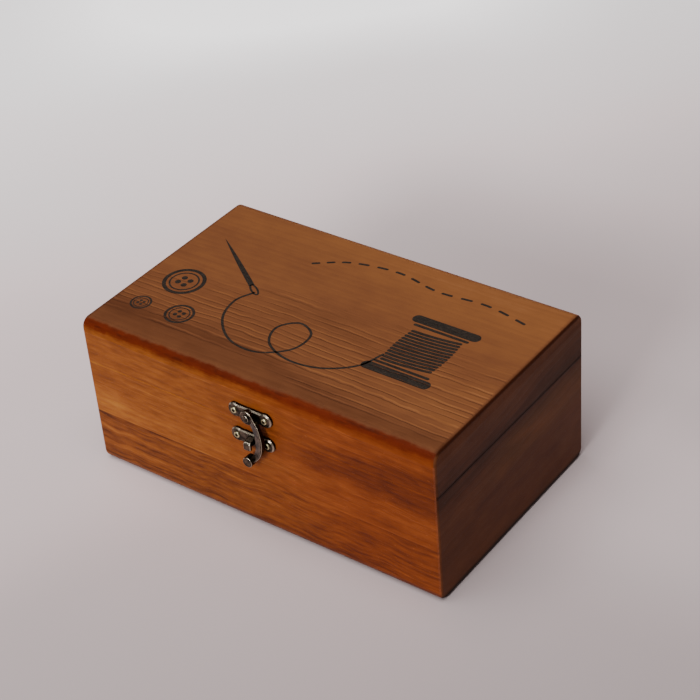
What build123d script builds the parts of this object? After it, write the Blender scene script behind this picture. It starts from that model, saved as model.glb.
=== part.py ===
# Wooden sewing box: a mitred base and a hinged lid of solid boards, a horn latch in front,
# two butt hinges behind and a divided tray that lifts out.
# X runs along the front, Y from front to back, Z up. The origin is under the middle of the bottom.

import os

from build123d import *

os.makedirs("parts", exist_ok=True)

# Carcass, in millimetres
box_length = 240.0
box_depth = 147.0
box_height = 100.0
lid_height = 28.5
wall = 10.0
top_thickness = 8.0
bottom_thickness = 5.0
bottom_rabbet = 3.5
edge_round = 6.0
end_round = 2.0
rim_ease = 0.2
saw_gap = 0.1
cut_overrun = 1.0

# Tray and the ledges under it
tray_height = 32.0
tray_drop = 2.3
tray_clearance = 0.8
tray_wall = 5.0
tray_floor_thickness = 3.0
tray_ease = 1.0
notch_radius = 11.0
divider_thickness = 3.0
divider_drop = 4.0
halving_clearance = 0.1
cross_divider_shares = {"left": -1 / 6, "right": 1 / 6}
ledge_width = 6.0
ledge_height = 8.0

# Screws and their holes
screw_radius = 1.0
screw_length = 7.0
screw_tip = 0.7
screw_clearance = 0.05
head_radius = 1.9
head_height = 0.8
head_round = 0.6
recess_length = 2.2
recess_width = 0.6
recess_depth = 0.35

# Hinges
hinge_inset = 48.0
hinge_width = 25.0
leaf_height = 13.0
leaf_thickness = 0.9
leaf_corner = 2.5
hinge_screw_pitch = 15.0
hinge_screw_rise = 8.0
pin_radius = 0.9
pin_fit = 0.02
pin_head_radius = 1.4
pin_head_height = 0.6
pin_head_round = 0.3
middle_knuckle = 9.0
knuckle_gap = 0.3
barrel_standoff = 0.2
running_clearance = 0.06

# Latch plates
latch_x = 0.9
latch_plate_rise = 8.8
catch_plate_drop = 8.0
plate_thickness = 2.2
plate_bevel = 0.7
plate_screw_pitch = 20.6
lobe_radius = 4.4
waist_share = 0.9
waist_round = 2.0
boss_radius = 3.9
boss_height = 0.3

# Catch on the lower plate: a tongue that stands out and turns down
catch_offset = -0.6
catch_width = 5.2
catch_rise = 4.6
catch_above = 1.8
catch_slope = 1.5
catch_neck = 3.4
catch_below = 4.6
catch_thickness = 2.2
catch_shoulder = 2.2
catch_tip_share = 0.45
catch_edge_share = 0.48

# Hook: each section's share of the way along the bow, its width, its height, and its rise above hook_floor
hook_sections = (
    (0.0, 6.4, 1.9, -0.5),
    (0.14, 6.2, 2.3, -0.15),
    (0.28, 6.0, 2.5, 0.6),
    (0.45, 6.0, 2.9, 1.2),
    (0.62, 5.4, 2.9, 1.4),
    (0.8, 4.2, 2.7, 1.3),
    (1.0, 3.4, 2.4, 1.0),
)
# The ridge runs near the outer edge of the bow, and a broad face falls from it to a low inner edge
ridge_in_share = 0.24
ridge_share = 0.35
ridge_out_share = 0.46
ridge_height_share = 0.9
inner_edge_share = 0.45
inner_height_share = 0.45
belly_share = 0.25
hook_gap = 0.1
hook_clearance = 0.2
hook_reach = 6.8
hook_side_room = 3.2
hook_head_radius = 4.3
hook_head_height = 2.4
hook_head_round = 0.6
knob_radius = 3.2
knob_height = 4.8
knob_round = 0.6

# Rivet that the hook turns on
rivet_radius = 1.4
rivet_head_radius = 2.2
rivet_head_height = 0.8
rivet_head_round = 0.6
rivet_float = 0.1

# Worked out from the sizes above
seam_height = box_height - lid_height
base_height = seam_height - saw_gap / 2
lid_bottom = seam_height + saw_gap / 2
lid_wall_top = box_height - top_thickness
inside_length = box_length - 2 * wall
inside_depth = box_depth - 2 * wall
tray_length = inside_length - 2 * tray_clearance
tray_depth = inside_depth - 2 * tray_clearance
tray_top = base_height - tray_drop
tray_bottom = tray_top - tray_height
tray_inside_length = tray_length - 2 * tray_wall
tray_inside_depth = tray_depth - 2 * tray_wall
divider_top = tray_top - divider_drop
divider_bottom = tray_bottom + tray_floor_thickness
divider_middle = (divider_top + divider_bottom) / 2
halving_width = divider_thickness + 2 * halving_clearance
knuckle_radius = pin_radius + running_clearance + leaf_thickness
barrel_offset = barrel_standoff + knuckle_radius
leaf_start = knuckle_radius + knuckle_gap
side_knuckle = (hinge_width - middle_knuckle) / 2 - knuckle_gap
hinge_x = {"left": hinge_inset - box_length / 2, "right": box_length / 2 - hinge_inset}
catch_root = catch_above - catch_plate_drop
catch_tip = -catch_plate_drop - catch_below
catch_front = plate_thickness + catch_rise
hook_seat = plate_thickness + boss_height + hook_gap
hook_top = hook_seat + hook_head_height
hook_floor = plate_thickness + head_height + hook_clearance
hook_tip = catch_tip - hook_reach
hook_bow = catch_offset + catch_width / 2 + hook_side_room + hook_sections[3][1] / 2

# Planes on the front and back faces at the seam, with Z up in both, and one across the latch
front_face = Plane(origin=(latch_x, -box_depth / 2, seam_height), x_dir=(1, 0, 0), z_dir=(0, -1, 0))
back_face = Plane(origin=(0, box_depth / 2, seam_height), x_dir=(-1, 0, 0), z_dir=(0, 1, 0))
latch_side = Plane(front_face.origin, x_dir=(0, -1, 0), z_dir=(-1, 0, 0))

# Where the screws go on those planes
plate_screw_x = plate_screw_pitch / 2
latch_screw_places = [(-plate_screw_x, latch_plate_rise), (plate_screw_x, latch_plate_rise)]
catch_screw_places = [(-plate_screw_x, -catch_plate_drop), (plate_screw_x, -catch_plate_drop)]


def hinge_screw_places(side, rise):
    # The back plane's own X runs the other way
    return [(step - hinge_x[side], rise) for step in (-hinge_screw_pitch / 2, hinge_screw_pitch / 2)]


def save(piece, name):
    piece.part.label = name
    export_step(piece.part, f"parts/{name}.step")


def centred_box(length, depth, low, high, mode=Mode.ADD):
    with Locations((0, 0, low)):
        Box(length, depth, high - low, align=(Align.CENTER, Align.CENTER, Align.MIN), mode=mode)


def drill(plane, places):
    # Screw holes from a face of the box into the board behind it
    with BuildSketch(plane) as holes:
        with Locations(*places):
            Circle(screw_radius + screw_clearance)
    extrude(holes.sketch, amount=-screw_length - screw_clearance, mode=Mode.SUBTRACT)


# The glued-up box before it is sawn open, with its edges rounded over
with BuildPart() as blank:
    centred_box(box_length, box_depth, 0, box_height)
    fillet(blank.edges().filter_by(Axis.X), edge_round)
    ends = blank.faces().filter_by(Axis.X)
    fillet(ends.edges(), end_round)

# The two halves that the saw leaves, with their rims eased
with BuildPart() as base_half:
    add(blank.part)
    split(bisect_by=Plane.XY.offset(base_height), keep=Keep.BOTTOM)
    chamfer(base_half.faces().sort_by(Axis.Z)[-1].edges(), rim_ease)

with BuildPart() as lid_half:
    add(blank.part)
    split(bisect_by=Plane.XY.offset(lid_bottom), keep=Keep.TOP)
    chamfer(lid_half.faces().sort_by(Axis.Z)[0].edges(), rim_ease)

# Each wall's own X direction, half its length and its distance from the middle
wall_runs = {
    "front": ((1, 0, 0), box_length / 2, box_depth / 2),
    "back": ((-1, 0, 0), box_length / 2, box_depth / 2),
    "left": ((0, -1, 0), box_depth / 2, box_length / 2),
    "right": ((0, 1, 0), box_depth / 2, box_length / 2),
}


def mitred_board(side, low, high):
    direction, half_run, reach = wall_runs[side]
    with BuildSketch(Plane(origin=(0, 0, low), x_dir=direction, z_dir=(0, 0, 1))) as footprint:
        with BuildLine():
            Polyline(
                (-half_run, -reach),
                (half_run, -reach),
                (half_run - wall, wall - reach),
                (wall - half_run, wall - reach),
                close=True,
            )
        make_face()
    extrude(footprint.sketch, amount=high - low)


def bottom_board(low, mode):
    lip = wall - bottom_rabbet
    centred_box(box_length - 2 * lip, box_depth - 2 * lip, low, bottom_thickness, mode)


def hinge_screw_rows(rise):
    return [place for side in hinge_x for place in hinge_screw_places(side, rise)]


# Base walls, rabbeted for the bottom
for side in wall_runs:
    with BuildPart() as base_wall:
        mitred_board(side, 0, base_height)
        add(base_half.part, mode=Mode.INTERSECT)
        bottom_board(-cut_overrun, Mode.SUBTRACT)
        if side == "front":
            drill(front_face, catch_screw_places)
        if side == "back":
            drill(back_face, hinge_screw_rows(-hinge_screw_rise))
    save(base_wall, f"base_{side}_wall")

with BuildPart() as base_bottom_panel:
    bottom_board(0, Mode.ADD)
    add(base_half.part, mode=Mode.INTERSECT)
save(base_bottom_panel, "base_bottom_panel")

# Ledges for the tray, glued to the end walls
for side, outward in {"left": -1, "right": 1}.items():
    with BuildPart() as tray_ledge:
        with Locations((outward * (inside_length - ledge_width) / 2, 0, tray_bottom)):
            Box(ledge_width, inside_depth, ledge_height, align=(Align.CENTER, Align.CENTER, Align.MAX))
    save(tray_ledge, f"{side}_tray_ledge")

# Lid
for side in wall_runs:
    with BuildPart() as lid_wall:
        mitred_board(side, lid_bottom, lid_wall_top)
        add(lid_half.part, mode=Mode.INTERSECT)
        if side == "front":
            drill(front_face, latch_screw_places)
        if side == "back":
            drill(back_face, hinge_screw_rows(hinge_screw_rise))
    save(lid_wall, f"lid_{side}_wall")

with BuildPart() as lid_top_panel:
    centred_box(box_length, box_depth, lid_wall_top, box_height)
    add(lid_half.part, mode=Mode.INTERSECT)
save(lid_top_panel, "lid_top_panel")

# Tray walls: the long ones run full length, and the ends stand between them with a finger notch each
for side, outward in {"front": -1, "back": 1}.items():
    with BuildPart() as tray_long_wall:
        with Locations((0, outward * (tray_depth - tray_wall) / 2, tray_bottom)):
            Box(tray_length, tray_wall, tray_height, align=(Align.CENTER, Align.CENTER, Align.MIN))
        fillet(tray_long_wall.faces().sort_by(Axis.Z)[-1].edges().filter_by(Axis.X), tray_ease)
    save(tray_long_wall, f"tray_{side}_wall")

for side, outward in {"left": -1, "right": 1}.items():
    end_plane = Plane.YZ.offset(outward * (tray_length - tray_wall) / 2)
    with BuildPart() as tray_end_wall:
        with BuildSketch(end_plane):
            with Locations((0, tray_bottom + tray_height / 2)):
                Rectangle(tray_inside_depth, tray_height)
            with Locations((0, tray_top)):
                Circle(notch_radius, mode=Mode.SUBTRACT)
        extrude(amount=tray_wall / 2, both=True)
    save(tray_end_wall, f"tray_{side}_wall")

with BuildPart() as tray_floor:
    centred_box(tray_inside_length, tray_inside_depth, tray_bottom, divider_bottom)
save(tray_floor, "tray_floor")

# Dividers halved into each other: the long one is slotted from above, the cross ones from below
with BuildPart() as tray_long_divider:
    centred_box(tray_inside_length, divider_thickness, divider_bottom, divider_top)
    for share in cross_divider_shares.values():
        with Locations((share * tray_inside_length, 0, divider_middle)):
            Box(
                halving_width,
                divider_thickness,
                divider_top - divider_middle,
                align=(Align.CENTER, Align.CENTER, Align.MIN),
                mode=Mode.SUBTRACT,
            )
save(tray_long_divider, "tray_long_divider")

for side, share in cross_divider_shares.items():
    with BuildPart() as tray_cross_divider:
        with Locations((share * tray_inside_length, 0, divider_bottom)):
            Box(
                divider_thickness,
                tray_inside_depth,
                divider_top - divider_bottom,
                align=(Align.CENTER, Align.CENTER, Align.MIN),
            )
            Box(
                divider_thickness,
                halving_width,
                divider_middle - divider_bottom,
                align=(Align.CENTER, Align.CENTER, Align.MIN),
                mode=Mode.SUBTRACT,
            )
    save(tray_cross_divider, f"tray_cross_divider_{side}")


def make_screws(name, plane, places, seat):
    # Round-headed cross-recess screws whose heads sit at this height above the plane
    with BuildPart() as screws:
        with BuildSketch(plane.offset(-screw_length)):
            with Locations(*places):
                Circle(screw_radius)
        extrude(amount=screw_length + seat)
        along = Axis(plane.origin, plane.z_dir)
        chamfer(screws.faces().group_by(along)[0].edges(), screw_tip)
        with BuildSketch(plane.offset(seat)):
            with Locations(*places):
                Circle(head_radius)
        extrude(amount=head_height)
        fillet(screws.faces().group_by(along)[-1].edges(), head_round)
        with BuildSketch(plane.offset(seat + head_height)):
            with Locations(*places):
                Rectangle(recess_length, recess_width)
                Rectangle(recess_width, recess_length)
        extrude(amount=-recess_depth, mode=Mode.SUBTRACT)
    save(screws, name)


make_screws("latch_screws", front_face, latch_screw_places, plate_thickness)
make_screws("catch_screws", front_face, catch_screw_places, plate_thickness)
for side in hinge_x:
    for leaf, rise in {"base": -hinge_screw_rise, "lid": hinge_screw_rise}.items():
        make_screws(f"{side}_hinge_{leaf}_screws", back_face, hinge_screw_places(side, rise), leaf_thickness)


def barrel_plane(side):
    # Across the middle of a hinge, square to its pin
    origin = (hinge_x[side], box_depth / 2 + barrel_offset, seam_height)
    return Plane(origin=origin, x_dir=(0, 1, 0), z_dir=(1, 0, 0))


def hinge_leaf(name, side, upward, knuckles, bore):
    # One leaf: a rounded plate on the back face, a tab to each knuckle, and the knuckles round the pin.
    # knuckles holds the middle and the length of each, measured along X from the hinge's middle.
    middle = -hinge_x[side]
    barrel = barrel_plane(side)
    with BuildPart() as leaf:
        with BuildSketch(back_face):
            with BuildLine():
                FilletPolyline(
                    (middle - hinge_width / 2, upward * leaf_start),
                    (middle - hinge_width / 2, upward * leaf_height),
                    (middle + hinge_width / 2, upward * leaf_height),
                    (middle + hinge_width / 2, upward * leaf_start),
                    radius=leaf_corner,
                )
                Line(
                    (middle + hinge_width / 2, upward * leaf_start),
                    (middle - hinge_width / 2, upward * leaf_start),
                )
            make_face()
            for place, length in knuckles:
                with Locations((middle - place, upward * leaf_start / 2)):
                    Rectangle(length, leaf_start)
            with Locations(*hinge_screw_places(side, upward * hinge_screw_rise)):
                Circle(screw_radius + screw_clearance, mode=Mode.SUBTRACT)
        extrude(amount=leaf_thickness)
        for place, length in knuckles:
            with BuildSketch(barrel.offset(place)):
                Circle(knuckle_radius)
            extrude(amount=length / 2, both=True)
        with BuildSketch(barrel):
            Circle(bore)
        extrude(amount=hinge_width, both=True, mode=Mode.SUBTRACT)
    save(leaf, name)


side_place = (hinge_width - side_knuckle) / 2
for side in hinge_x:
    outer_knuckles = [(-side_place, side_knuckle), (side_place, side_knuckle)]
    hinge_leaf(f"{side}_hinge_base_leaf", side, -1, outer_knuckles, pin_radius + pin_fit)
    hinge_leaf(f"{side}_hinge_lid_leaf", side, 1, [(0, middle_knuckle)], pin_radius + running_clearance)
    barrel = barrel_plane(side)
    with BuildPart() as hinge_pin:
        with BuildSketch(barrel):
            Circle(pin_radius)
        extrude(amount=hinge_width / 2, both=True)
        for start in (hinge_width / 2, -hinge_width / 2 - pin_head_height):
            with BuildSketch(barrel.offset(start)):
                Circle(pin_head_radius)
            extrude(amount=pin_head_height)
        fillet(hinge_pin.faces().sort_by(Axis.X)[0].edges(), pin_head_round)
        fillet(hinge_pin.faces().sort_by(Axis.X)[-1].edges(), pin_head_round)
    save(hinge_pin, f"{side}_hinge_pin")


def pivot_disc(radius, low, high, mode=Mode.ADD):
    # A round about the hook's pivot, between two heights above the front face
    with BuildSketch(front_face.offset(low)) as disc:
        with Locations((0, latch_plate_rise)):
            Circle(radius)
    extrude(disc.sketch, amount=high - low, mode=mode)


def screwed_plate(height, holes):
    # A bevelled plate on the front face, with a lobe round each screw and a waist between them
    with BuildPart() as plate:
        with BuildSketch(front_face) as outline:
            with Locations((0, height)):
                Rectangle(plate_screw_pitch, 2 * waist_share * lobe_radius)
            with Locations(*holes):
                Circle(lobe_radius)
            inner = outline.vertices().filter_by(lambda vertex: abs(vertex.X) < plate_screw_x)
            fillet(inner, waist_round)
        extrude(amount=plate_thickness)
        chamfer(plate.faces().sort_by(Axis.Y)[0].edges(), plate_bevel)
        with BuildSketch(front_face):
            with Locations(*holes):
                Circle(screw_radius + screw_clearance)
        extrude(amount=plate_thickness + cut_overrun, mode=Mode.SUBTRACT)
    return plate.part


# Upper latch plate, on the lid, with a low boss under the hook
upper_plate = screwed_plate(latch_plate_rise, latch_screw_places)
with BuildPart() as latch_plate:
    add(upper_plate)
    pivot_disc(boss_radius, 0, plate_thickness + boss_height)
    pivot_disc(rivet_radius + pin_fit, 0, hook_seat, Mode.SUBTRACT)
save(latch_plate, "latch_plate")

# Lower latch plate, on the base, with the tongue that the hook goes under
lower_plate = screwed_plate(-catch_plate_drop, catch_screw_places)
with BuildPart() as catch_plate:
    with BuildSketch(latch_side.offset(-catch_offset)) as tongue:
        with BuildLine():
            Polyline(
                (0, catch_root),
                (plate_thickness, catch_root),
                (catch_front, catch_root - catch_slope),
                (catch_front, catch_tip),
                (catch_front - catch_thickness, catch_tip),
                (catch_front - catch_thickness, catch_root - catch_neck),
                (0, catch_root - catch_neck),
                close=True,
            )
        make_face()
        fillet(tongue.vertices().group_by(Axis.X)[-1].sort_by(Axis.Y)[-1], catch_shoulder)
        fillet(tongue.vertices().group_by(Axis.Y)[0], catch_tip_share * catch_thickness)
    extrude(amount=catch_width / 2, both=True)
    sides = catch_plate.faces().filter_by(Axis.X)
    outside = -box_depth / 2 - catch_front
    outer = sides.edges().filter_by_position(Axis.Y, outside, outside + catch_thickness / 2)
    fillet(outer, catch_edge_share * catch_thickness)
    add(lower_plate)
save(catch_plate, "catch_plate")

# Horn of the latch: ridged sections that taper along a bowed line and stand clear of the screw heads,
# with a flat eye at the pivot and a thumb knob at the tip
with BuildLine(front_face) as bow:
    ThreePointArc((0, latch_plate_rise), (hook_bow, (latch_plate_rise + hook_tip) / 2), (0, hook_tip))
with BuildPart() as latch_hook:
    pivot_disc(hook_head_radius, hook_seat, hook_top)
    fillet(latch_hook.faces().sort_by(Axis.Y)[0].edges(), hook_head_round)
    for share, width, height, rise in hook_sections:
        middle = bow.line @ share + front_face.z_dir * (hook_floor + rise)
        shoulder = ridge_height_share * height
        ridge_in, ridge, ridge_out = (-width * way for way in (ridge_in_share, ridge_share, ridge_out_share))
        with BuildSketch(Plane(origin=middle, x_dir=front_face.z_dir, z_dir=bow.line % share)):
            with BuildLine():
                Polyline(
                    (0, width / 2),
                    (inner_height_share * height, inner_edge_share * width),
                    (shoulder, ridge_in),
                )
                ThreePointArc((shoulder, ridge_in), (height, ridge), (shoulder, ridge_out))
                Line((shoulder, ridge_out), (0, -width / 2))
                ThreePointArc((0, -width / 2), (-belly_share * height, 0), (0, width / 2))
            make_face()
    loft()
    knob_start = hook_floor + rise - belly_share * height
    with BuildSketch(front_face.offset(knob_start)):
        with Locations((0, hook_tip)):
            Circle(knob_radius)
    extrude(amount=knob_height)
    fillet(latch_hook.faces().sort_by(Axis.Y)[0].edges(), knob_round)
    # Room for the plate's boss behind the eye, and for the rivet and its head
    pivot_disc(hook_head_radius, 0, hook_seat, Mode.SUBTRACT)
    pivot_disc(rivet_radius + running_clearance, 0, hook_top, Mode.SUBTRACT)
    pivot_disc(rivet_head_radius + rivet_float, hook_top, hook_top + hook_head_height, Mode.SUBTRACT)
save(latch_hook, "latch_hook")

with BuildPart() as latch_rivet:
    pivot_disc(rivet_radius, rivet_float, hook_top + rivet_float)
    pivot_disc(rivet_head_radius, hook_top + rivet_float, hook_top + rivet_float + rivet_head_height)
    fillet(latch_rivet.faces().sort_by(Axis.Y)[0].edges(), rivet_head_round)
save(latch_rivet, "latch_rivet")
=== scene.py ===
from types import SimpleNamespace

import bpy
import numpy as np
from mathutils import Matrix, Vector


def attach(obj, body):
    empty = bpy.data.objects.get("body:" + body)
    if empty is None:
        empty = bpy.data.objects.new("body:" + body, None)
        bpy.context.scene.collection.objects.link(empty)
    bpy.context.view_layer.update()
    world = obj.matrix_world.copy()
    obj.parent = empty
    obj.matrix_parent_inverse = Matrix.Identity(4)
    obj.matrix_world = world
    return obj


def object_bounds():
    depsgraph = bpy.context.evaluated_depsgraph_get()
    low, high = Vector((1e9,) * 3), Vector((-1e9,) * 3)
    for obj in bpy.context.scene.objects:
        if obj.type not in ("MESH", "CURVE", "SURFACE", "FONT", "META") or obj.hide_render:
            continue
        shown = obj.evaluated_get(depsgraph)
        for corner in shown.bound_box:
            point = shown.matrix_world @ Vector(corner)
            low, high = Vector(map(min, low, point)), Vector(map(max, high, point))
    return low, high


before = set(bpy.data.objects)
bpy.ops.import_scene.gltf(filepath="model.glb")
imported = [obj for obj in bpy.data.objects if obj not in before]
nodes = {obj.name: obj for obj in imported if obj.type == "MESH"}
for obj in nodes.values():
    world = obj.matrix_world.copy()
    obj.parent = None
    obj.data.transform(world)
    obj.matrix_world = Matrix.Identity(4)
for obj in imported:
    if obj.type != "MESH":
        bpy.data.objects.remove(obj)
cadBox = [[float(v) for v in corner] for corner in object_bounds()]
millimetre = 0.001
print("frame loaded:", len(nodes), "nodes")


# Shader wiring

class Wire:  # a socket that can stand in a sum
    def __init__(self, tree, socket=None):
        self.tree, self.socket = tree, socket

    def add(self, kind, settings=None, sockets=None, out=0):  # any node: settings first, then sockets
        node = self.tree.nodes.new(kind)
        for key, value in (settings or {}).items():
            if key == "stops":
                stops = node.color_ramp.elements
                stops.remove(stops[1])
                stops[0].position, stops[0].color = value[0][0], rgb(*value[0][1])
                for place, colour in value[1:]:
                    stops.new(place).color = rgb(*colour)
            else:
                setattr(node, key, value)
        for key, value in (sockets or {}).items():
            if isinstance(value, Wire):
                self.tree.links.new(value.socket, node.inputs[key])
            else:
                node.inputs[key].default_value = value
        if isinstance(out, tuple):
            return [Wire(self.tree, node.outputs[i]) for i in out]
        return Wire(self.tree, node.outputs[out])

    def maths(self, operation, a, b=0.0):
        return self.add("ShaderNodeMath", {"operation": operation}, {0: a, 1: b})

    def __add__(self, other):
        return self.maths("ADD", self, other)

    def __radd__(self, other):
        return self.maths("ADD", other, self)

    def __sub__(self, other):
        return self.maths("SUBTRACT", self, other)

    def __rsub__(self, other):
        return self.maths("SUBTRACT", other, self)

    def __mul__(self, other):
        return self.maths("MULTIPLY", self, other)

    def __rmul__(self, other):
        return self.maths("MULTIPLY", other, self)

    def __truediv__(self, other):
        return self.maths("DIVIDE", self, other)

    def __rtruediv__(self, other):
        return self.maths("DIVIDE", other, self)

    def __pow__(self, other):
        return self.maths("POWER", self, other)

    def __abs__(self):
        return self.maths("ABSOLUTE", self)

    def fract(self):
        return self.maths("FRACT", self)

    def ease(self, low, high):  # 0 below low, 1 above high, smooth between; low may be the larger
        return self.add("ShaderNodeMapRange", {"interpolation_type": "SMOOTHSTEP"},
                        {"Value": self, "From Min": low, "From Max": high})

    def near(self, middle, inner, outer):  # 1 within inner of middle, 0 beyond outer
        return abs(self - middle).ease(outer, inner)

    def ramp(self, stops):
        return self.add("ShaderNodeValToRGB", {"stops": stops}, {0: self})

    def mixed(self, a, b):  # self is the share of b
        return self.add("ShaderNodeMix", {"data_type": "RGBA"}, {0: self, 6: a, 7: b}, out=2)


def rgb(*parts):
    return (*parts, 1.0)


seedStep = (13.7, 5.3, -9.1)  # a seed moves its pattern by this much


def noise(place, scales, seed, detail=2):  # 0 to 1; a scale of 0 holds the pattern in that direction
    moved = [part * scale + seed * step if scale else seed * step
             for part, scale, step in zip(place, scales, seedStep)]
    spot = place[0].add("ShaderNodeCombineXYZ", None, dict(enumerate(moved)))
    return spot.add("ShaderNodeTexNoise", None,
                    {"Vector": spot, "Scale": 1.0, "Detail": detail, "Roughness": 0.5})


def swing(place, scales, seed, detail=2):  # the same about 0
    return noise(place, scales, seed, detail) - 0.5


def newFinish(name):  # an empty material and its place in millimetres
    finish = bpy.data.materials.new(name)
    finish.use_nodes = True
    finish.node_tree.nodes.clear()
    start = Wire(finish.node_tree)
    place = start.add("ShaderNodeTexCoord", out=3)
    place = start.add("ShaderNodeVectorMath", {"operation": "SCALE"}, {0: place, "Scale": 1 / millimetre})
    return finish, start, start.add("ShaderNodeSeparateXYZ", None, {0: place}, out=(0, 1, 2))


def close(start, colour, rough, height, **fixed):  # height is in millimetres
    sockets = {"Base Color": colour, "Roughness": rough}
    if height is not None:
        bump = {"Strength": 1.0, "Distance": millimetre, "Height": height}
        sockets["Normal"] = start.add("ShaderNodeBump", None, bump)
    sockets.update({key.replace("_", " "): value for key, value in fixed.items()})
    shader = start.add("ShaderNodeBsdfPrincipled", None, sockets)
    start.add("ShaderNodeOutputMaterial", None, {"Surface": shader}, out=())


def paint(finish, *names):
    for name in names:
        nodes[name].data.materials.clear()
        nodes[name].data.materials.append(finish)


# Pine. Places and heights are in millimetres, the strengths of marks are shares of the tone.

pineGrain = {
    "wander": (0.006, 0.02, 0.02), "ripple": (0.022, 0.06, 0.06),  # scales along, over and into the board
    "uneven": (0.45, 0.002, 0), "unevenYears": 1.6,
    "lateStart": (0.30, 0.88), "lateEnd": (1.0, 0.93),
    "layers": {  # scale along, scale across, detail
        "streak": (0.010, 0.30, 3), "fibre": (0.09, 2.6, 2), "broad": (0.012, 0.035, 2),
        "mottle": (0.06, 0.12, 3), "thin": (0.018, 1.1, 3),
    },
    "pore": (0.30, 6.0, 6.0), "poreFrom": (0.62, 0.74), "poreFibre": 0.6,
}


def pine(along, over, deep, s):
    # Years are circles about a pith line that leans a little along the board, so a flat face cuts
    # long arches out of them. part runs 0 to 1 through a year and late is its dark end.
    place, seed, g = (along, over, deep), s["seed"], pineGrain
    wander = swing(place, g["wander"], seed)
    ripple = swing(place, g["ripple"], seed + 1)
    across = over - s["pith"][0] + along * s["lean"]
    depth = deep - s["pith"][1]
    radius = (across * across + depth * depth) ** 0.5
    years = (radius + wander * s["wander"] + ripple * s["ripple"]) / s["year"]
    years = years + swing((years, along, over), g["uneven"], seed + 2, 1) * g["unevenYears"]
    part = years.fract()
    late = part.ease(*g["lateStart"]) * part.ease(*g["lateEnd"])
    tone = s["light"] - late * s["late"]
    layers = {}
    for step, (name, (long, cross, detail)) in enumerate(g["layers"].items()):
        layers[name] = swing(place, (long, cross, cross), seed + 3 + step, detail)
        tone = tone + layers[name] * s[name]
    pore = noise(place, g["pore"], seed + 8, 1).ease(*g["poreFrom"])
    return SimpleNamespace(tone=tone - pore * s["pore"], late=late, part=part, streak=layers["streak"],
                           fibre=layers["fibre"] - pore * g["poreFibre"])


seam = 71.5  # height of the cut between base and lid
bare = {
    "tones": [(0.0, (0.20, 0.085, 0.03)), (0.5, (0.42, 0.215, 0.09)), (1.0, (0.60, 0.36, 0.18))],
    "contrast": 0.8, "lift": 0.1, "rough": 0.25,
    "halfLong": (110.6, 109.9), "halfDeep": (64.1, 63.4), "floor": (4.0, 5.2), "roof": (92.6, 91.9),
}


def closeBoard(start, place, look, s):  # bare pine on the faces that the closed lid hides, stain elsewhere
    x, y, z = place
    hidden = abs(x).ease(*bare["halfLong"]) * abs(y).ease(*bare["halfDeep"])
    hidden = hidden * z.ease(*bare["floor"]) * z.ease(*bare["roof"])
    colour = hidden.mixed(look.colour, (look.tone * bare["contrast"] + bare["lift"]).ramp(bare["tones"]))
    rough = s["rough"] + look.fibre * s["fibreRough"] + hidden * bare["rough"]
    close(start, colour, rough, look.height, Specular_IOR_Level=s["shine"])


frontBoard = {
    "seed": 2.0, "pith": (-34.0, -38.0), "lean": 0.035, "wander": 9.0, "ripple": 2.4, "year": 4.6,
    "late": 0.06, "streak": 0.24, "fibre": 0.13, "broad": 0.36, "mottle": 0.34, "thin": 0.12,
    "pore": 0.08, "light": 0.57,
    "gold": [
        (0.00, (0.071, 0.0166, 0.0036)), (0.25, (0.149, 0.0355, 0.0056)), (0.50, (0.237, 0.0632, 0.0088)),
        (0.75, (0.314, 0.0956, 0.0152)), (1.00, (0.401, 0.1460, 0.0230))],
    "red": [
        (0.00, (0.052, 0.0092, 0.0028)), (0.25, (0.113, 0.0200, 0.0043)), (0.50, (0.186, 0.0363, 0.0060)),
        (0.75, (0.256, 0.0570, 0.0098)), (1.00, (0.339, 0.0903, 0.0196))],
    "joint": 36.2, "heart": 66.6, "sapwood": 49.0, "paleLine": 46.5,  # heights of the marks
    "fleck": 0.46, "leftFleck": 0.14, "scratch": 0.21, "nick": 0.25,
    "lowerDark": 0.05, "wave": 0.78, "leftWave": 0.5, "lowerLeft": 0.10, "lowerMiddle": 0.05,
    "lowerDeep": 0.07, "lowerFoot": 0.12, "underJoint": 0.20, "glue": 0.24, "lip": 0.12,
    "heartDark": 0.27, "heartStreak": 0.36, "sapwoodPale": 0.09, "pale": 0.14, "patch": 0.23, "rim": 0.26,
    "footShade": 0.8, "footColour": (0.035, 0.009, 0.006),
    "corner": 0.12, "cornerFibre": 0.8, "cornerHighlightColour": (0.36, 0.16, 0.10),
    "fibreHigh": 0.03, "relief": 0.03, "glueDeep": 0.06, "nickDeep": 0.1, "fleckHigh": 0.12, "scratchHigh": 0.05,
    "rough": 0.42, "fibreRough": 0.22, "shine": 0.08,
}


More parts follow.
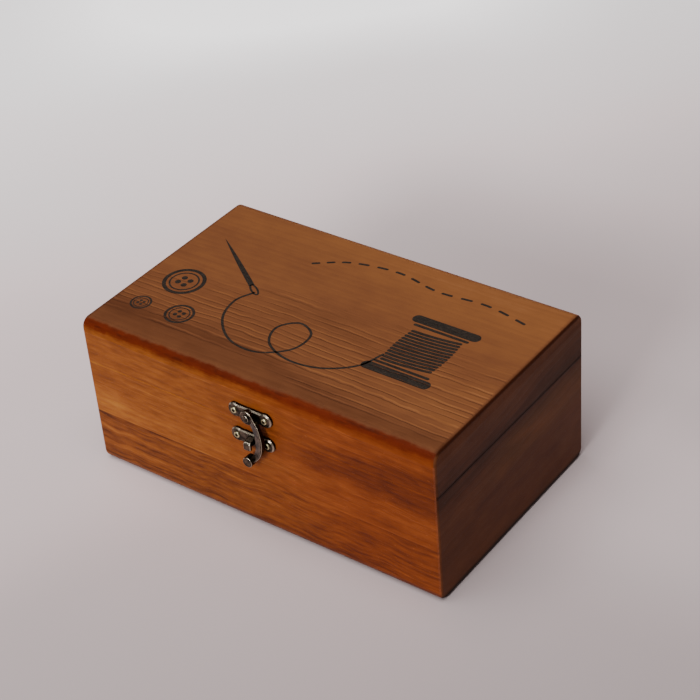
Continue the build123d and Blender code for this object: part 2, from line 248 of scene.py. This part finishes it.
def frontTone(x, y, z, s):  # the front and back boards, and the lid's long edges
    grain = pine(x, z, y, s)
    streak, place = grain.streak, (x, z, y)
    face = y.ease(-60.0, -63.0)  # the marks below are on the front only, apart from the nicks
    sway = swing(place, (0.02, 0, 0), 5)
    fleck = swing((x + z * 0.8, z - x * 0.06, y), (0.11, 0.42, 0), 17, 3) * face  # short planer marks
    worn = noise(place, (0.02, 0.06, 0), 24, 1).ease(0.42, 0.62)  # the scratches come in patches
    scratch = noise((x, z + sway * 5 + x * 0.02, y), (0.035, 1.5, 0), 23).ease(0.58, 0.68) * worn * face
    tone = grain.tone + fleck * (s["fleck"] + x.ease(20.0, -60.0) * s["leftFleck"]) + scratch * s["scratch"]

    joint = z + x * 0.004 + sway * 0.5 - s["joint"]  # height above the glue line
    lower = joint.ease(0.15, -0.15) * face
    bend = swing(place, (0.045, 0.03, 0), 13, 1)
    wave = swing((x, z + sway * 10 + bend * 7, y), (0.013, 0.42, 0), 11, 3)
    dark = s["lowerDark"] + wave * (s["wave"] + x.ease(10.0, -80.0) * s["leftWave"])
    dark = dark + (x + sway * 60).ease(20.0, -110.0) * s["lowerLeft"]
    dark = dark + x.near(10.0, 40.0, 110.0) * (s["lowerMiddle"] + z.ease(32.0, 20.0) * s["lowerDeep"])
    dark = dark + z.ease(14.0, 2.0) * s["lowerFoot"]
    dark = dark + joint.ease(-10.0, -1.0) * (x + bend * 30).ease(-10.0, -90.0) * s["underJoint"]
    tone = tone - lower * dark
    glue = joint.near(-0.3, 0.15, 0.6) * face * (0.3 + x.ease(-10.0, -80.0) * 0.5)
    lip = joint.near(0.5, 0.1, 0.6) * face  # the upper board's lit lower edge
    lip = lip * (0.5 + streak * 2.0).ease(0.2, 0.7)

    flare = (x + bend * 30).ease(0.0, 120.0) * 6 + 7.5  # the heartwood rises and widens to the right
    heart = (abs(z - x * 0.04 - s["heart"] + sway * 6 + bend * 4) / flare).ease(1.35, 0.55)
    heart = heart * (x + streak * 60).ease(-15.0, 75.0) * face
    sapwood = (z + sway * 4).near(s["sapwood"], 4.0, 11.0) * x.ease(20.0, 100.0) * face  # paler below it
    tone = tone - heart * (s["heartDark"] + streak * s["heartStreak"]) + sapwood * s["sapwoodPale"]
    pale = (z + sway * 5).near(s["paleLine"], 0.4, 3.0) * x.ease(-30.0, -70.0) * face
    patch = (joint + sway * 6).near(11.0, 4.0, 13.0) * (x + streak * 40).ease(-84.0, -104.0) * face
    rim = z.near(seam, 0.35, 0.8) * (0.6 + x.ease(10.0, -50.0) * 0.4) * face  # painted highlight on the eased edges along the seam, lifting its shade
    nick = noise((x + z * 0.5, z, y), (0.35, 0.9, 0.9), 21, 1).ease(0.74, 0.80)
    tone = tone + pale * s["pale"] - glue * s["glue"] + lip * s["lip"] + nick * s["nick"]
    tone = tone + patch * s["patch"] + rim * s["rim"]

    warm = (x - lower * 10 + (streak + wave) * 70).ease(70.0, -70.0) * face
    colour = warm.mixed(tone.ramp(s["red"]), tone.ramp(s["gold"]))
    height = grain.fibre * s["fibreHigh"] - grain.late * s["relief"] - glue * s["glueDeep"]
    height = height - nick * s["nickDeep"] + fleck * s["fleckHigh"] + scratch * s["scratchHigh"]
    return SimpleNamespace(tone=tone, colour=colour, fibre=grain.fibre, height=height)


def frontFinish(s):
    finish, start, (x, y, z) = newFinish("stained_pine_long")
    look = frontTone(x, y, z, s)
    footShade = z.ease(4.2, 1.4) * s["footShade"]  # painted shade: the bottom rounding stays dark
    look.colour = footShade.mixed(look.colour, rgb(*s["footColour"]))
    corner = (abs(x) + abs(y)).ease(191.75, 192.15)  # the upright corners are rubbed a little paler, with a painted highlight
    corner = corner * (s["corner"] + look.fibre * s["cornerFibre"])
    look.colour = corner.mixed(look.colour, rgb(*s["cornerHighlightColour"]))
    closeBoard(start, (x, y, z), look, s)
    return finish


endBoard = {
    "seed": 31.0, "pith": (20.0, 60.0), "lean": -0.10, "wander": 10.0, "ripple": 2.0, "year": 4.2,
    "late": 0.05, "streak": 0.17, "fibre": 0.07, "broad": 0.30, "mottle": 0.30, "thin": 0.08,
    "pore": 0.04, "light": 0.54,
    "tones": [
        (0.00, (0.036, 0.011, 0.0055)), (0.30, (0.082, 0.0255, 0.0110)), (0.55, (0.145, 0.0460, 0.0180)),
        (0.80, (0.210, 0.0720, 0.0290)), (1.00, (0.300, 0.112, 0.046))],
    "sheen": 0.10, "rub": 0.12, "seamShade": 0.32, "belowSeamDark": 0.16, "upper": 0.03, "stain": 0.10,
    "dusty": 0.28, "dustyColour": (0.176, 0.066, 0.0146),
    "lidShade": 0.36, "lidShadeColour": (0.036, 0.0105, 0.0),
    "footShade": 0.9, "footColour": (0.010, 0.004, 0.002),
    "fibreHigh": 0.03, "relief": 0.03, "rough": 0.45, "fibreRough": 0.22, "shine": 0.06,
}


def endTone(x, y, z, s):  # the end boards and the lid panel's ends
    grain = pine(y, z, x, s)
    sheen = (z + (y - 5.0) * 0.3 + grain.streak * 10).near(60.0, 0.5, 5.0) * y.near(8.0, 12.0, 34.0)
    rub = noise((y, z + grain.streak * 6, x), (0.05, 1.3, 0), 53).ease(0.60, 0.70)  # thin pale scratches
    rub = rub * z.near(56.0, 4.0, 14.0)
    # painted shade in the seam, and a broader darkening just below it
    stained = z.near(seam, 0.6, 1.8) * s["seamShade"] + z.near(69.0, 3.0, 16.0) * s["belowSeamDark"]
    tone = grain.tone + sheen * s["sheen"] + rub * s["rub"] - stained
    tone = tone + z.ease(84.0, 96.0) * s["upper"] - s["stain"]
    dusty = z.near(56.0, 6.0, 16.0) * y.ease(-50.0, 10.0) * s["dusty"]  # browner below the seam
    colour = dusty.mixed(tone.ramp(s["tones"]), rgb(*s["dustyColour"]))
    dark = z.ease(seam - 0.3, seam + 0.3) * z.ease(106.0, 82.0) * y.ease(0.0, 45.0)  # painted shade: darker above it
    colour = (dark * s["lidShade"]).mixed(colour, rgb(*s["lidShadeColour"]))
    height = grain.fibre * s["fibreHigh"] - grain.late * s["relief"]
    return SimpleNamespace(tone=tone, colour=colour, fibre=grain.fibre, height=height)


def endFinish(s):
    finish, start, (x, y, z) = newFinish("stained_pine_ends")
    look = endTone(x, y, z, s)
    # painted shade: the bottom rounding stays dark
    footShade = z.ease(5.2, 2.0) * s["footShade"]
    look.colour = footShade.mixed(look.colour, rgb(*s["footColour"]))
    closeBoard(start, (x, y, z), look, s)
    return finish


topBoard = {
    "seed": 8.0, "pith": (-190.0, 60.0), "lean": -0.018, "wander": 10.0, "ripple": 2.4, "year": 4.4,
    "late": 0.03, "streak": 0.12, "fibre": 0.10, "broad": 0.24, "mottle": 0.22, "thin": 0.07,
    "pore": 0.04, "light": 0.63,
    "tones": [
        (0.00, (0.060, 0.0184, 0.0088)), (0.30, (0.115, 0.0390, 0.0168)), (0.55, (0.182, 0.0645, 0.0262)),
        (0.78, (0.256, 0.0940, 0.0315)), (1.00, (0.335, 0.138, 0.054))],
    "shake": 0.42, "groove": 0.30, "ridge": 0.25, "fibreHigh": 0.04, "relief": 0.03,
    "shore": 0.21, "shoreRight": 0.02, "grooveDark": 0.08, "brushedDark": 0.09, "arris": 0.24,
    "backHighlight": 0.155, "middleDark": 0.045, "leftDark": 0.02, "brushedRight": 0.09,
    "roundingShade": [(0.0, (0.058, 0.006, 0.0016)), (0.5, (0.110, 0.0142, 0.0030)), (1.0, (0.175, 0.031, 0.006))],
    "chip": 0.6, "chipColour": (0.040, 0.007, 0.003),
    "endArris": 0.85, "endColour": (0.032, 0.0065, 0.0028),
    "rough": 0.46, "fibreRough": 0.2, "shine": 0.035,
}


def topGrain(x, y, z, s):  # shared with the print, which lies in the same grain
    grain, place = pine(x, y, z, s), (x, y, z)
    sway = swing(place, (0.016, 0.05, 0), 41)
    brushed = (y + sway * 40 + x.ease(-20.0, -110.0) * 22).ease(18.0, -12.0)  # the front half only
    brushed = brushed * (y + sway * 12 + x.ease(-20.0, 50.0) * 7).ease(-60.0, -51.0)
    brushed = brushed * abs(x).ease(119.4, 117.0)
    depth = noise(place, (0.03, 0.25, 0), 43).ease(0.34, 0.62)  # the brush bit deeper in places
    year = grain.part + swing(place, (0.09, 0.10, 0), 42) * s["shake"]
    groove = year.near(0.5, 0.02, 0.16) * brushed * (0.15 + depth * 0.85)
    ridge = year.near(0.72, 0.03, 0.15) * brushed * (0.2 + depth * 0.8)  # painted highlight on the crest beside each groove
    height = grain.fibre * s["fibreHigh"] - grain.late * s["relief"] - groove * s["groove"]
    return SimpleNamespace(tone=grain.tone + ridge * s["ridge"], fibre=grain.fibre, brushed=brushed,
                           groove=groove, height=height)


def topFinish(s):
    finish, start, (x, y, z) = newFinish("stained_pine_top")
    look, place = topGrain(x, y, z, s), (x, y, z)
    sway = swing(place, (0.05, 0, 0), 45, 3)
    shore = (y + sway * 8 + x.ease(-40.0, 60.0) * 13).ease(-33.0, -53.0)  # darker along the front edge
    arris = (abs(x) + sway).ease(116.8, 119.2)
    tone = look.tone - shore * (s["shore"] + x.ease(-60.0, 40.0) * s["shoreRight"])
    tone = tone - look.groove * s["grooveDark"] - look.brushed * s["brushedDark"] - arris * s["arris"]
    # painted light: the back of the top is paler
    tone = tone + (y + x * 0.2).ease(10.0, 75.0) * s["backHighlight"]
    tone = tone - y.near(20.0, 15.0, 38.0) * x.ease(-40.0, 20.0) * s["middleDark"]
    tone = tone - x.ease(0.0, -110.0) * s["leftDark"]
    look.tone = tone + x.ease(10.0, 110.0) * look.brushed * s["brushedRight"]
    look.colour = look.tone.ramp(s["tones"])

    rim = frontTone(x, y, z, frontBoard)
    ragged = swing(place, (0.22, 0, 0), 46)
    roundingShade = (z + sway * 4.0 + rim.fibre * 3.0 + ragged * 2).ease(93.4, 97.6)  # painted shade on the front rounding, in a dark red
    roundingShade = roundingShade * y.ease(0.0, -1.0)
    rim.colour = roundingShade.mixed(rim.colour, (rim.tone * 0.8 + sway * 0.5).ramp(s["roundingShade"]))
    chip = noise((x, z, y), (0.07, 0.45, 0), 47, 3).ease(0.50, 0.66)  # dark chips along it
    chip = chip * (z + sway * 2).near(98.2, 0.5, 2.0) * s["chip"]
    rim.colour = chip.mixed(rim.colour, rgb(*s["chipColour"]))
    edge = (abs(y) + sway * 2.2 + look.fibre * 1.5 + ragged * 2).ease(68.6, 70.8)
    look.colour = edge.mixed(look.colour, rim.colour)

    endArris = (z + sway).ease(97.4, 99.0) * s["endArris"]
    endColour = endArris.mixed(endTone(x, y, z, endBoard).colour, rgb(*s["endColour"]))
    look.colour = abs(x).ease(118.6, 119.4).mixed(look.colour, endColour)
    closeBoard(start, place, look, s)
    return finish


trayBoard = {
    "seed": 60.0, "pith": (40.0, 30.0), "lean": 0.04, "wander": 7.0, "ripple": 2.0, "year": 3.4,
    "late": 0.24, "streak": 0.5, "fibre": 0.26, "broad": 0.4, "mottle": 0.2, "thin": 0.3,
    "pore": 0.14, "light": 0.64,
    "tones": [(0.0, (0.22, 0.10, 0.04)), (0.35, (0.40, 0.215, 0.095)), (0.65, (0.53, 0.32, 0.155)),
              (1.0, (0.66, 0.45, 0.25))],
    "fibreHigh": 0.03, "relief": 0.03, "rough": 0.58, "fibreRough": 0.2, "shine": 0.25,
}


def trayFinish(name, s, turn):  # turn says which way the board runs
    finish, start, (x, y, z) = newFinish(name)
    grain = pine(*{"x": (x, z, y), "y": (y, z, x), "flat": (x, y, z)}[turn], s)
    height = grain.fibre * s["fibreHigh"] - grain.late * s["relief"]
    close(start, grain.tone.ramp(s["tones"]), s["rough"] + grain.fibre * s["fibreRough"], height,
          Specular_IOR_Level=s["shine"])
    return finish


longPine, endPine, topPine = frontFinish(frontBoard), endFinish(endBoard), topFinish(topBoard)
paint(longPine, "base_front_wall", "base_back_wall", "lid_front_wall", "lid_back_wall")
paint(endPine, "base_left_wall", "base_right_wall", "lid_left_wall", "lid_right_wall")
paint(topPine, "lid_top_panel")
trayLong = trayFinish("tray_pine_long", trayBoard, "x")
trayCross = trayFinish("tray_pine_cross", {**trayBoard, "seed": 66.0}, "y")
trayFlat = trayFinish("tray_pine_flat", {**trayBoard, "seed": 71.0, "pith": (10.0, 70.0)}, "flat")
paint(trayLong, "tray_front_wall", "tray_back_wall", "tray_long_divider")
paint(trayCross, "tray_left_wall", "tray_right_wall", "tray_cross_divider_left", "tray_cross_divider_right",
      "left_tray_ledge", "right_tray_ledge")
paint(trayFlat, "tray_floor", "base_bottom_panel")
print("wood painted")


# Metal

bronze = {
    "dark": (0.019, 0.014, 0.010), "patina": (0.120, 0.088, 0.064), "worn": (0.70, 0.59, 0.45),
    "edge": 0.75, "edgeFine": 0.7, "edgeWornHighlight": 0.75, "side": 0.8,
    "rough": 0.28, "fineRough": 0.16, "coarseRough": 0.12, "grit": 0.02, "dents": 0.05,
}


def bronzeFinish(name, s):
    finish, start, place = newFinish(name)
    facing = start.add("ShaderNodeSeparateXYZ", None, {0: start.add("ShaderNodeTexCoord", out=1)}, out=1)
    coarse = swing(place, (0.30, 0.30, 0.30), 81, 3)
    fine = swing(place, (2.2, 2.2, 2.2), 83)
    edge = abs(facing).near(0.70, 0.10, 0.24)  # bevels and rounded rims are rubbed bright, with a painted highlight
    edge = edge * (s["edge"] + fine * s["edgeFine"])
    side = abs(facing).ease(0.45, 0.15)  # painted shade: upright sides are darkened
    colour = (coarse * 2.0 + 0.5).ease(0.2, 0.8).mixed(rgb(*s["dark"]), rgb(*s["patina"]))
    colour = (side * s["side"]).mixed(colour, rgb(*s["dark"]))
    colour = (edge * s["edgeWornHighlight"]).mixed(colour, rgb(*s["worn"]))
    rough = s["rough"] + fine * s["fineRough"] + coarse * s["coarseRough"]
    close(start, colour, rough, fine * s["grit"] + coarse * s["dents"], Metallic=1.0)
    return finish


screw = {
    "brass": (0.62, 0.57, 0.34), "tarnish": (0.25, 0.21, 0.11), "recess": (0.03, 0.022, 0.014),
    "recessRadius": (1.2, 0.8), "rough": 0.32, "fineRough": 0.3, "tarnishRough": 0.15, "grit": 0.04,
    "latchMiddle": 0.9, "latchStep": 10.3, "latchRows": (80.3, 63.5),
    "hingeMiddle": 72.0, "hingeStep": 7.5, "hingeRows": (79.5, 63.5),
}


def screwFinish(name, s, middle, step, rows):  # middle and step place the two screws of each row along X
    finish, start, place = newFinish(name)
    x, z = place[0], place[2]
    coarse = swing(place, (0.8, 0.8, 0.8), 91, 3)
    fine = swing(place, (3.0, 3.0, 3.0), 93)
    tarnish = (coarse * 1.8 + 0.3).ease(0.2, 0.8)
    colour = tarnish.mixed(rgb(*s["brass"]), rgb(*s["tarnish"]))
    across = abs(abs(x - middle) - step)
    rise = abs(z - (rows[0] + rows[1]) / 2) - abs(rows[0] - rows[1]) / 2
    radius = (across * across + rise * rise) ** 0.5
    colour = radius.ease(*s["recessRadius"]).mixed(colour, rgb(*s["recess"]))  # painted shade in and around the recess
    rough = s["rough"] + fine * s["fineRough"] + tarnish * s["tarnishRough"]
    close(start, colour, rough, fine * s["grit"], Metallic=1.0)
    return finish


paint(bronzeFinish("antique_bronze", bronze), "latch_plate", "catch_plate", "latch_hook", "latch_rivet",
      *[f"{side}_hinge_{leaf}" for side in ("left", "right") for leaf in ("base_leaf", "lid_leaf", "pin")])
latchBrass = screwFinish("worn_brass_latch", screw, screw["latchMiddle"], screw["latchStep"], screw["latchRows"])
paint(latchBrass, "latch_screws", "catch_screws")
for side, sign in (("left", -1), ("right", 1)):
    hingeBrass = screwFinish(f"worn_brass_{side}", screw, sign * screw["hingeMiddle"], screw["hingeStep"],
                             screw["hingeRows"])
    paint(hingeBrass, f"{side}_hinge_base_screws", f"{side}_hinge_lid_screws")
print("metal painted")


# Print on the lid: a spool, its thread with a needle, buttons and a row of stitches

lidPrint = {
    "lift": 0.05, "ink": (0.020, 0.016, 0.014), "faded": (0.050, 0.036, 0.027), "rough": 0.5, "shine": 0.06,
    "spool": (64.0, -2.0), "spoolHalf": 17.0, "spoolTall": 56.0,
    "barOver": 5, "barIn": 3.4, "barWide": 6.8, "lipOver": 1, "lipIn": 8.9, "lipWide": 2.0,
    "turns": 12, "turnsIn": 13.2, "turnWide": 2.1, "turnHalf": 0.93, "turnBulge": 0.07,
    "turnSlant": 1.4, "turnSag": 0.8,
    "thread": [(48, -14), (42, -30), (26, -42), (6, -45), (-12, -38), (-18, -24), (-9, -14), (3, -20),
               (2, -36), (-14, -48), (-34, -46), (-50, -32), (-55, -15), (-50, -2)],
    "threadWide": 1.5, "threadPoints": 240,
    "needleTip": (-101.0, 34.0), "needleWide": 3.2, "needleTaper": 2.2, "needlePoint": 0.15,
    "shaftFrom": 7.4, "eyeMiddle": 2.6, "eyeHalf": (5.4, 1.7), "eyeWide": 1.2,
    "buttons": [(-93.0, -14.0, 13.0), (-74.0, -41.0, 9.0), (-101.0, -43.0, 6.5)],  # place and radius
    "rimIn": 0.82, "ringIn": 0.62, "ringOut": 0.70, "holesOut": 0.28, "hole": 0.14, "holesTurn": 0.6,
    "stitches": [(-40, 38), (-20, 50), (10, 55), (40, 50), (72, 52), (104, 46)],
    "stitchCount": 13, "stitchStep": 40, "stitchLong": 25, "stitchWide": 1.7,
}


def gridFaces(rows, columns):  # quads of a grid whose points run row by row
    corner = (np.arange(rows - 1)[:, None] * columns + np.arange(columns - 1)).ravel()
    return np.stack([corner, corner + columns, corner + columns + 1, corner + 1], axis=1)


def through(knots, count):
    # A smooth line through its knots: each span is a cubic set by the four knots around it.
    knots = np.asarray(knots, float)
    knots = np.vstack([2 * knots[0] - knots[1], knots, 2 * knots[-1] - knots[-2]])
    t = np.linspace(0, len(knots) - 3 - 1e-9, count)
    i, f = t.astype(int), (t % 1)[:, None]
    a, b, c, d = knots[i], knots[i + 1], knots[i + 2], knots[i + 3]
    square, cube = 2 * a - 5 * b + 4 * c - d, 3 * b - a - 3 * c + d
    return 0.5 * (2 * b + (c - a) * f + square * f ** 2 + cube * f ** 3)


def band(path, wide):  # each point of the path steps half the width to both sides, square to the path
    path = np.asarray(path, float)
    step = np.gradient(path, axis=0)
    step /= np.linalg.norm(step, axis=1, keepdims=True)
    side = np.stack([-step[:, 1], step[:, 0]], axis=1) * (np.broadcast_to(wide, len(path)) / 2)[:, None]
    return np.stack([path - side, path + side], axis=1).reshape(-1, 2), gridFaces(len(path), 2)


def bluntBand(path, wide):  # a band whose ends are half circles, like a pen stroke's
    path = np.asarray(path, float)
    run = np.r_[0, np.cumsum(np.linalg.norm(np.diff(path, axis=0), axis=1))]
    left = np.minimum(run, run[-1] - run) / (wide / 2)  # way to the nearer end, in half widths
    share = np.clip(left * (2 - np.minimum(left, 2)), 0.004, 1) * (left < 1) + (left >= 1)
    return band(path, wide * np.sqrt(share))


def hoop(centre, inner, outer, count=72):  # radius from inner to outer, angle once round
    angle, radius = np.meshgrid(np.linspace(0, 2 * np.pi, count), np.linspace(inner, outer, 2), indexing="ij")
    points = np.stack([centre[0] + radius * np.cos(angle), centre[1] + radius * np.sin(angle)], axis=-1)
    return points.reshape(-1, 2), gridFaces(count, 2)


def spoolShapes(s):
    cx, cy = s["spool"]
    half, top = s["spoolHalf"], s["spoolTall"] / 2
    t = np.linspace(-1, 1, 81)
    shapes = []
    for end in (-1, 1):  # flanges: a thick bar with rounded ends and a thinner lip inside it
        for over, into, wide in ((s["barOver"], s["barIn"], s["barWide"]),
                                 (s["lipOver"], s["lipIn"], s["lipWide"])):
            bar = np.stack([cx + t * (half + over), cy + end * (top - into) + 0 * t], axis=1)
            shapes.append(bluntBand(bar, wide))
    for turn in np.linspace(-1, 1, s["turns"]):  # wound thread: slanting turns, fuller in the middle
        reach = half * (s["turnHalf"] + s["turnBulge"] * np.cos(turn * np.pi / 2))
        rise = cy + turn * (top - s["turnsIn"]) + t * s["turnSlant"] - s["turnSag"] * (1 - t * t)
        shapes.append(bluntBand(np.stack([cx + t * reach, rise], axis=1), s["turnWide"]))
    return shapes


def needleShapes(s):  # a band that tapers to its tip, and an oval line for the eye at its thick end
    eye, tip = np.array(s["thread"][-1], float), np.array(s["needleTip"])
    t = np.linspace(0, 1, 61)
    along = (tip - eye) / np.linalg.norm(tip - eye)
    side = np.array([-along[1], along[0]])
    shaft = eye + along * s["shaftFrom"] + (tip - eye - along * s["shaftFrom"]) * t[:, None]
    angle = np.linspace(0, 2 * np.pi, 49)
    long, cross = s["eyeHalf"]
    oval = np.outer(np.cos(angle) * long, along) + np.outer(np.sin(angle) * cross, side)
    return [band(shaft, s["needleWide"] * (1 - t ** s["needleTaper"]) + s["needlePoint"]),
            band(eye + along * s["eyeMiddle"] + oval, s["eyeWide"])]


def buttonShapes(s):  # a rim, a thin ring inside it and four round holes
    shapes = []
    for cx, cy, radius in s["buttons"]:
        shapes.append(hoop((cx, cy), radius * s["rimIn"], radius))
        shapes.append(hoop((cx, cy), radius * s["ringIn"], radius * s["ringOut"]))
        for angle in np.arange(4) * np.pi / 2 + s["holesTurn"]:
            out = radius * s["holesOut"]
            hole = (cx + out * np.cos(angle), cy + out * np.sin(angle))
            shapes.append(hoop(hole, 0.0, radius * s["hole"], count=25))
    return shapes


def stitchShapes(s):  # dashes at even steps along one smooth line
    step, long = s["stitchStep"], s["stitchLong"]
    line = through(s["stitches"], step * s["stitchCount"])
    return [bluntBand(line[first:first + long], s["stitchWide"]) for first in range(0, len(line), step)]


def inkFinish(s):
    finish, start, (x, y, z) = newFinish("lid_ink")
    grain = topGrain(x, y, z, topBoard)
    specks = swing((x, y, z), (0.9, 2.2, 0), 95, 3)
    alpha = (0.97 + specks * 0.7 + grain.fibre * 0.4 - grain.groove * 0.25).ease(0.45, 0.95)  # worn thin
    colour = (0.4 + specks * 1.5 + grain.fibre).ease(0.1, 0.9).mixed(rgb(*s["ink"]), rgb(*s["faded"]))
    close(start, colour, s["rough"] + grain.fibre * 0.2, grain.height, Specular_IOR_Level=s["shine"],
          Alpha=alpha)
    return finish


shapes = spoolShapes(lidPrint) + needleShapes(lidPrint) + buttonShapes(lidPrint) + stitchShapes(lidPrint)
shapes.append(bluntBand(through(lidPrint["thread"], lidPrint["threadPoints"]), lidPrint["threadWide"]))
points = np.concatenate([p for p, f in shapes])
starts = np.cumsum([0] + [len(p) for p, f in shapes[:-1]])
faces = np.concatenate([f + first for (p, f), first in zip(shapes, starts)])
ring = points[faces]
area = (ring[:, 2, 0] - ring[:, 0, 0]) * (ring[:, 3, 1] - ring[:, 1, 1]) - \
       (ring[:, 3, 0] - ring[:, 1, 0]) * (ring[:, 2, 1] - ring[:, 0, 1])
faces = np.where(area[:, None] < 0, faces[:, ::-1], faces)  # every face looks up
printMesh = bpy.data.meshes.new("lid_print")
level = np.full((len(points), 1), cadBox[1][2] / millimetre + lidPrint["lift"])
printMesh.from_pydata(np.hstack([points, level]) * millimetre, [], faces.tolist())
lidDecor = bpy.data.objects.new("lid_print", printMesh)
bpy.context.scene.collection.objects.link(lidDecor)
printMesh.materials.append(inkFinish(lidPrint))
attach(lidDecor, "lid")
print("print made:", len(faces), "faces")


# Floor, light and camera

studio = {
    "floorHalf": 4.0, "floorDrop": 0.0001, "floorPoints": 9,
    "floorTones": [
        (0.0, (0.47, 0.385, 0.385)), (0.18, (0.60, 0.492, 0.492)), (0.40, (0.81, 0.660, 0.660)),
        (0.62, (0.985, 0.800, 0.800)), (0.85, (0.985, 0.900, 0.905))],
    "farFrom": 350, "farReach": 1350, "leftLift": 0.11, "rightLift": 0.15, "dimTone": 0.11,
    "glow": (1.2, 1.2, 1.2), "farGlow": 0.6, "dimGlow": 0.3, "rightGlow": 0.2, "poolGlow": 0.75,
    "keyFrom": (0.22, -2.54, 1.25), "keySize": (0.80, 0.80), "keyPower": 46.0,
    "overheadFrom": (-0.16, -0.70, 2.20), "overheadSize": (2.2, 2.2), "overheadPower": 54.0,
    "lightsAt": (0, 0, 0.05), "air": (0.13, 0.128, 0.128),
}


def floorFinish(s):
    finish, start, (x, y, z) = newFinish("pale_floor")
    cloud = swing((x, y, z), (0.004, 0.004, 0), 3, 3)
    far = (y - x + cloud * 80 + s["farFrom"]) / s["farReach"]  # grows towards the back, where the floor is painted paler as painted light
    lit = (x - y * 0.3).ease(0.0, -90.0) * y.ease(220.0, 100.0) * s["leftLift"]  # painted light at both sides too
    lit = lit + x.ease(95.0, 145.0) * y.ease(-50.0, 40.0) * y.ease(160.0, 90.0) * s["rightLift"]
    pool = far.ease(0.74, 0.95) * (x + y).near(100.0, 80.0, 400.0)  # painted pool of light, glowing: the brightest place, far behind the box
    paintedShadow = x.near(-40.0, 50.0, 190.0) * y.near(190.0, 60.0, 170.0)  # painted shadow, the dimmest place, close behind it
    # painted light: the floor glows, more towards the back and less to the right
    glow = far.ease(0.38, 0.98) * (1.0 - (x + y).ease(250.0, 480.0) * s["rightGlow"])
    glow = glow * (s["farGlow"] - paintedShadow * s["dimGlow"]) + pool * s["poolGlow"]
    colour = (far + lit - paintedShadow * s["dimTone"]).ramp(s["floorTones"])
    close(start, colour, 0.5 + cloud * 0.05, None, Specular_IOR_Level=0.4,
          Emission_Color=glow.mixed(rgb(0, 0, 0), rgb(*s["glow"])), Emission_Strength=1.0)
    return finish


span = np.linspace(-1, 1, studio["floorPoints"]) * studio["floorHalf"]
u, v = np.meshgrid(span, span, indexing="ij")  # a flat square grid just under the box
floorPoints = np.stack([u, v, np.full_like(u, -studio["floorDrop"])], axis=-1).reshape(-1, 3)
floorMesh = bpy.data.meshes.new("floor")
floorMesh.from_pydata(floorPoints, [], gridFaces(len(span), len(span))[:, ::-1].tolist())
floorMesh.materials.append(floorFinish(studio))
floor = bpy.data.objects.new("floor", floorMesh)
bpy.context.scene.collection.objects.link(floor)


def softLight(name, s):
    place = Vector(s[name + "From"])
    lamp = bpy.data.lights.new(name, "AREA")
    lamp.shape, lamp.energy = "RECTANGLE", s[name + "Power"]
    lamp.size, lamp.size_y = s[name + "Size"]
    lampObject = bpy.data.objects.new(name, lamp)
    lampObject.location = place
    lampObject.rotation_mode = "QUATERNION"
    lampObject.rotation_quaternion = (Vector(s["lightsAt"]) - place).to_track_quat("-Z", "Y")
    bpy.context.scene.collection.objects.link(lampObject)


softLight("key", studio)
softLight("overhead", studio)
air = bpy.data.worlds.new("air")
air.use_nodes = True
air.node_tree.nodes["Background"].inputs[0].default_value = rgb(*studio["air"])
bpy.context.scene.world = air

view = {
    "place": (0.55004, -0.67061, 0.69520), "right": (0.80905, 0.58360, -0.06965),
    "up": (-0.29516, 0.50590, 0.81052), "back": (0.50826, -0.63519, 0.58156), "lens": 97.2, "sensor": 36.0,
}
lensData = bpy.data.cameras.new("camera")
lensData.lens, lensData.sensor_width = view["lens"], view["sensor"]
camera = bpy.data.objects.new("camera", lensData)
turned = Matrix((view["right"], view["up"], view["back"])).transposed().to_4x4()
camera.matrix_world = Matrix.Translation(view["place"]) @ turned
bpy.context.scene.collection.objects.link(camera)
bpy.context.scene.camera = camera
print("studio ready")
